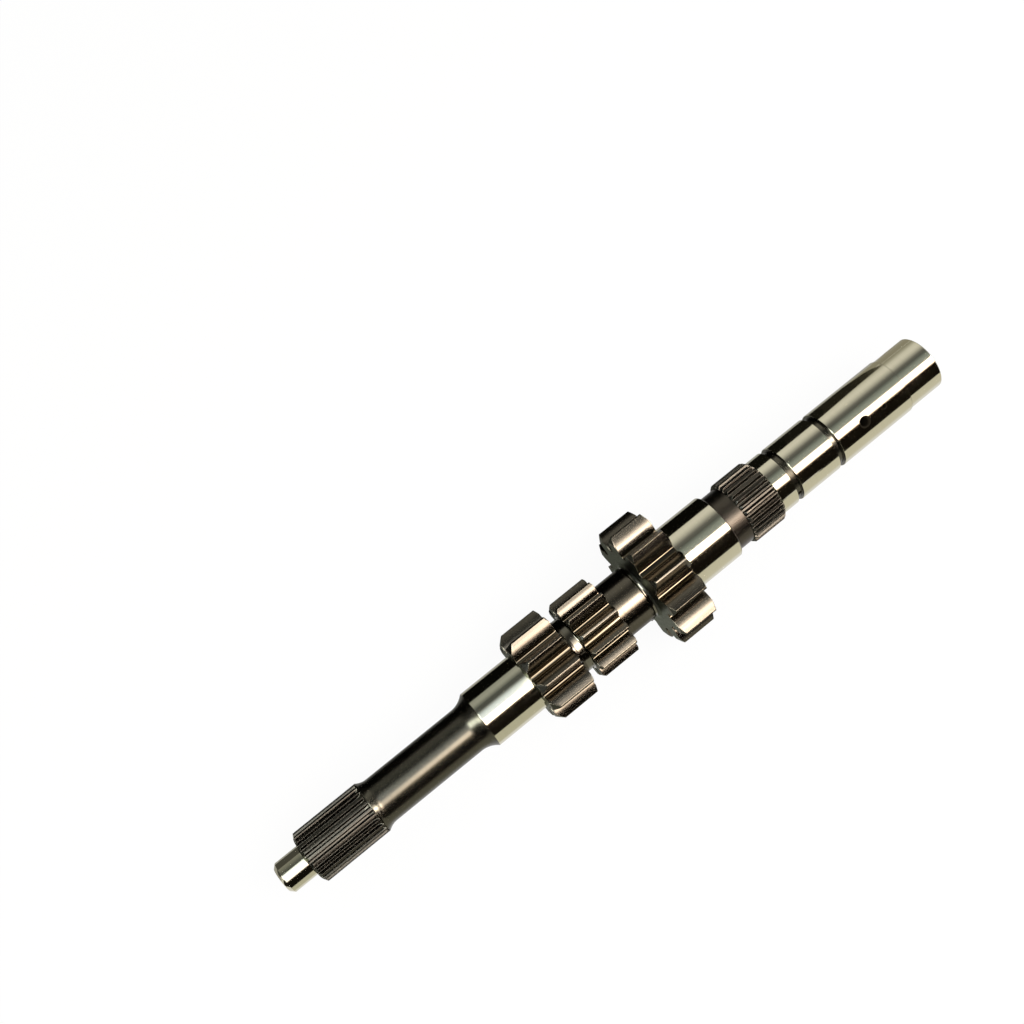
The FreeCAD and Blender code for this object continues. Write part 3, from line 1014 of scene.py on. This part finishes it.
window_side = [
    (-90, (0.03, 0.03, 0.026)), (-66, (0.04, 0.04, 0.036)), (-60, (0.60, 0.60, 0.58)),
    (-46, (0.66, 0.66, 0.64)), (-36, (0.40, 0.40, 0.38)), (-26, (0.12, 0.12, 0.12)),
    (-14, (0.12, 0.12, 0.12)), (-6, (0.50, 0.51, 0.52)), (0, (1.9, 1.8, 1.8)),
    (8, (4.4, 4.1, 4.0)), (17, (8.0, 7.3, 7.1)), (25, (16.0, 14.4, 14.0)),
    (34, (16.0, 14.0, 13.2)), (41, (10.0, 8.2, 7.2)), (43, (0.10, 0.08, 0.06)),
    (50, unlit), (60, unlit), (66, (6.0, 5.4, 5.2)),
    (82, (6.0, 5.4, 5.2)), (86, (0.30, 0.26, 0.20)), (90, unlit)]
front_side = [
    (-90, (0.03, 0.03, 0.026)), (-66, (0.04, 0.04, 0.036)), (-60, (0.46, 0.48, 0.46)),
    (-46, (0.54, 0.56, 0.54)), (-38, (0.42, 0.44, 0.42)), (-26, (0.13, 0.14, 0.14)),
    (-16, (0.13, 0.14, 0.14)), (-12, (0.20, 0.22, 0.23)), (-8.5, (0.50, 0.55, 0.60)),
    (-1, (1.10, 1.26, 1.46)), (6, (1.40, 1.56, 1.85)), (16.5, (1.60, 1.72, 2.10))]
shank_strip = [
    (18, (7.0, 6.5, 6.5)), (25, (11.0, 10.0, 9.8)), (33, (11.0, 9.8, 9.3)),
    (38, (8.0, 6.8, 6.2)), (41, (0.50, 0.42, 0.36)), (43, (0.06, 0.05, 0.04))]
pilot_side = [
    (-90, (0.10, 0.10, 0.09)), (-64, (0.12, 0.12, 0.11)), (-60, (0.36, 0.36, 0.33)),
    (-44, (0.30, 0.31, 0.28)), (-24, (0.16, 0.17, 0.16)), (-12, (0.11, 0.12, 0.12)),
    (-9, (1.6, 1.75, 1.9)), (0, (2.4, 2.6, 2.9)), (15, (2.8, 2.9, 3.1)),
    (36, (2.8, 2.7, 2.8)), (40, (2.2, 2.0, 2.0)), (42, (0.10, 0.08, 0.06)),
    (50, unlit), (90, unlit)]
far_side = [
    (-90, (0.05, 0.05, 0.045)), (-60, (0.06, 0.06, 0.05)), (-24, (0.08, 0.085, 0.08)),
    (-14, (0.60, 0.64, 0.66)), (-8, (12.0, 12.8, 13.0)), (12, (12.0, 12.8, 13.0)),
    (18, (0.60, 0.60, 0.56)), (30, (0.05, 0.045, 0.035)), (50, unlit),
    (90, unlit)]
# Stretches along X over which the far side gives way to each look of the tent in turn
tent_looks = [
    (pilot_side, (-0.30, -0.20)),
    (front_side + shank_strip + dark_end, (-0.08, 0.0)),
    (window_side, (0.235, 0.27)),
    (neck_side, (0.36, 0.40)),
    (tail_side + gear_strip + dark_end, (0.44, 0.46)),
    (tail_side + shoulder_strip + dark_end, (0.500, 0.512)),
    (tail_side + tail_strip + dark_end, (0.68, 0.70)),
    (tail_side + gear_strip + dark_end, (1.00, 1.04))]


def glowing(name):
    """A new emission material with its tree and shader, left out of the light sampling."""
    material = bpy.data.materials.new(name)
    tree = empty_tree(material)
    glow = new_node(tree, "Emission", {})
    new_node(tree, "OutputMaterial", {"Surface": glow.outputs[0]})
    material.cycles.emission_sampling = "NONE"
    return material, tree, glow


def gradient(tree, level, stops):
    """A colour ramp through stops of (angle, colour)."""
    ramp = tree.nodes.new("ShaderNodeValToRGB")
    elements = ramp.color_ramp.elements
    elements[0].position = 0.0
    elements[1].position = 1.0
    for number, (angle, colour) in enumerate(stops):
        if number == 0:
            stop = elements[0]
        elif number == len(stops) - 1:
            stop = elements[len(elements) - 1]
        else:
            stop = elements.new((angle + 90) / 180)
        stop.color = (*[value / brightest for value in colour], 1)
    tree.links.new(level, ramp.inputs[0])
    return ramp.outputs["Color"]


def only_reflected(made):
    """Shows a stage piece to glossy rays alone."""
    made.visible_camera = False
    made.visible_diffuse = False
    made.visible_shadow = False
    made.visible_transmission = False


tent_material, tree, glow = glowing("light_tent")
own = new_node(tree, "TexCoord", {}).outputs["Object"]
split = new_node(tree, "SeparateXYZ", {0: own}).outputs
turn = maths(tree, "ARCTAN2", maths(tree, "MULTIPLY", split["Y"], -1.0), split["Z"])
level = ranged(tree, turn, -math.pi / 2, math.pi / 2, 0.0, 1.0)
shown = gradient(tree, level, far_side)
for stops, stretch in tent_looks:
    share = ranged(tree, split["X"], *stretch, 0.0, 1.0)
    shown = mixed(tree, share, shown, gradient(tree, level, stops))
tree.links.new(shown, glow.inputs["Color"])
glow.inputs["Strength"].default_value = brightest

tent_steps = 60
arch_angles = [math.pi * (step / tent_steps - 0.5) for step in range(tent_steps + 1)]
arch = [(-tent_radius * math.sin(angle), tent_radius * math.cos(angle)) for angle in arch_angles]
only_reflected(panel(
    "light_tent", [(x, y, z) for y, z in arch for x in (tent_start, tent_end)], tent_material,
    [(2 * step, 2 * step + 1, 2 * step + 3, 2 * step + 2) for step in range(tent_steps)]))


def card(name, corners, colour):
    """A plain stage card of one brightness, seen only in reflections."""
    material, _, glow = glowing(name)
    glow.inputs["Color"].default_value = (*colour, 1)
    only_reflected(panel(name, corners, material))


# The tent's ends: a plain card at the pilot end, and the tent's own look at the tail end
card("pilot_end_card", [(tent_start, y, z) for y, z in arch], (0.16, 0.16, 0.14))
only_reflected(panel("tail_end_card", [(tent_end, y, z) for y, z in arch], tent_material))
window_x = tent_start + 0.02
card("pilot_end_window", [
    (window_x, -0.76, 0.01), (window_x, 0.46, 0.01),
    (window_x, 0.46, 0.50), (window_x, -0.76, 0.50)], (2.2, 2.2, 2.2))
card("flare_card", [
    (window_x, -0.34, 0.58), (window_x, 0.16, 0.58),
    (window_x, 0.20, 1.28), (window_x, -0.42, 1.22)], (17.0, 18.0, 18.0))

# Cards that lie on the bench, as (name, X from, X to, Y from, Y to, colour)
lying_at = bench_level + 0.0006
shade = (0.52, 0.52, 0.50)
tail_shade = (0.42, 0.40, 0.33)
for name, x_from, x_to, y_from, y_to, colour in (
        ("bench_shade", -0.30, 0.358, 0.008, 0.0595, shade),
        ("bench_shade_tail", 0.30, 1.14, 0.061, 1.29, tail_shade),
        ("bench_shade_end", 0.359, 0.90, 0.008, 0.0605, tail_shade),
        ("bench_dark_front", -1.2, -0.075, -0.599, -0.020, (0.02, 0.018, 0.014)),
        ("bench_warm_front", -0.075, 0.19, -0.599, -0.037, (0.77, 0.76, 0.65)),
        ("bench_warm_tail", 0.19, 1.15, -0.599, -0.0395, (0.92, 0.90, 0.80))):
    card(name, level_corners(x_from, x_to, y_from, y_to, lying_at), colour)

# Cards that stand on the bench, as (name, X from, X to, Y, top)
standing_at = bench_level + 0.0007
for name, x_from, x_to, y_card, top in (
        ("dark_card_front", -1.2, 0.40, -0.44, 0.24),
        ("dark_card_back", 0.40, 1.15, -0.34, 0.18)):
    card(name, [
        (x_from, y_card, standing_at), (x_to, y_card, standing_at),
        (x_to, y_card, top), (x_from, y_card, top)], unlit)

# A dark strip stands on the bench beside the shaft and runs out to a point near the tail.
# Each stop gives its place along X, its lower edge, its upper edge and its brightness from there on.
strip_y = 0.060
on_bench = bench_level + 0.0005
dark_strip = [
    (-0.300, on_bench, 0.0395, (0.10, 0.10, 0.09)),
    (0.012, on_bench, 0.0400, (0.004, 0.004, 0.003)),
    (0.255, on_bench, 0.0400, (0.008, 0.008, 0.006)),
    (0.295, on_bench, 0.0375, (0.014, 0.013, 0.010)),
    (0.320, on_bench, 0.0350, (0.025, 0.023, 0.017)),
    (0.341, on_bench, 0.0275, (0.030, 0.027, 0.019)),
    (0.345, -0.0170, 0.0265, (0.045, 0.042, 0.031)),
    (0.350, -0.0100, 0.0258, (0.070, 0.066, 0.050)),
    (0.354, 0.0040, 0.0255, (0.130, 0.122, 0.098)),
    (0.357, 0.0150, 0.0250, (0.230, 0.215, 0.175)),
    (0.360, 0.0245, 0.0245, None)]
for number, (start, stop) in enumerate(zip(dark_strip, dark_strip[1:])):
    x_from, low_from, high_from, colour = start
    x_to, low_to, high_to, _ = stop
    corners = [(x_from, strip_y, low_from), (x_to, strip_y, low_to)]
    if high_to > low_to:
        corners.append((x_to, strip_y, high_to))
    corners.append((x_from, strip_y, high_from))
    card("dark_strip_%d" % number, corners, colour)

# World: white where it is seen, and a soft fill otherwise
world = bpy.data.worlds.new("studio")
scene.world = world
tree = empty_tree(world)
fill = new_node(tree, "Background", {"Color": (1.0, 0.99, 0.97, 1), "Strength": 0.75})
white = new_node(tree, "Background", {"Color": (1, 1, 1, 1), "Strength": 1.0})
new_node(tree, "OutputWorld", {
    "Surface": blended(tree, seen_or_reflected(tree), fill, white)})

# One soft lamp, for what is not a reflection
lamp = bpy.data.lights.new("key_lamp", "AREA")
lamp.shape = "RECTANGLE"
lamp.size = 1.2
lamp.size_y = 0.6
lamp.energy = 9.0
lamp.color = (1.0, 0.98, 0.95)
key = bpy.data.objects.new("key_lamp", lamp)
key.location = (0.35, -0.45, 0.95)
key.rotation_euler = (math.radians(27), 0, 0)
key.visible_glossy = False
scene.collection.objects.link(key)

# Camera at the photograph's place and angle: it looks past the shaft's middle and is rolled a little
camera_place = Vector((0.061271, -0.119443, 0.593977))
camera_aim = Vector((0.163385, 0.065195, 0.0))
camera_roll = math.radians(-10.5774)
camera_data = bpy.data.cameras.new("camera")
camera_data.sensor_width = 36.0
camera_data.lens = 48.685
camera_data.clip_start = 0.01
camera_data.clip_end = 50.0
camera = bpy.data.objects.new("camera", camera_data)
upright = (camera_aim - camera_place).to_track_quat("-Z", "Y").to_matrix().to_4x4()
camera.matrix_world = Matrix.Translation(camera_place) @ upright @ Matrix.Rotation(camera_roll, 4, "Z")
scene.collection.objects.link(camera)
scene.camera = camera
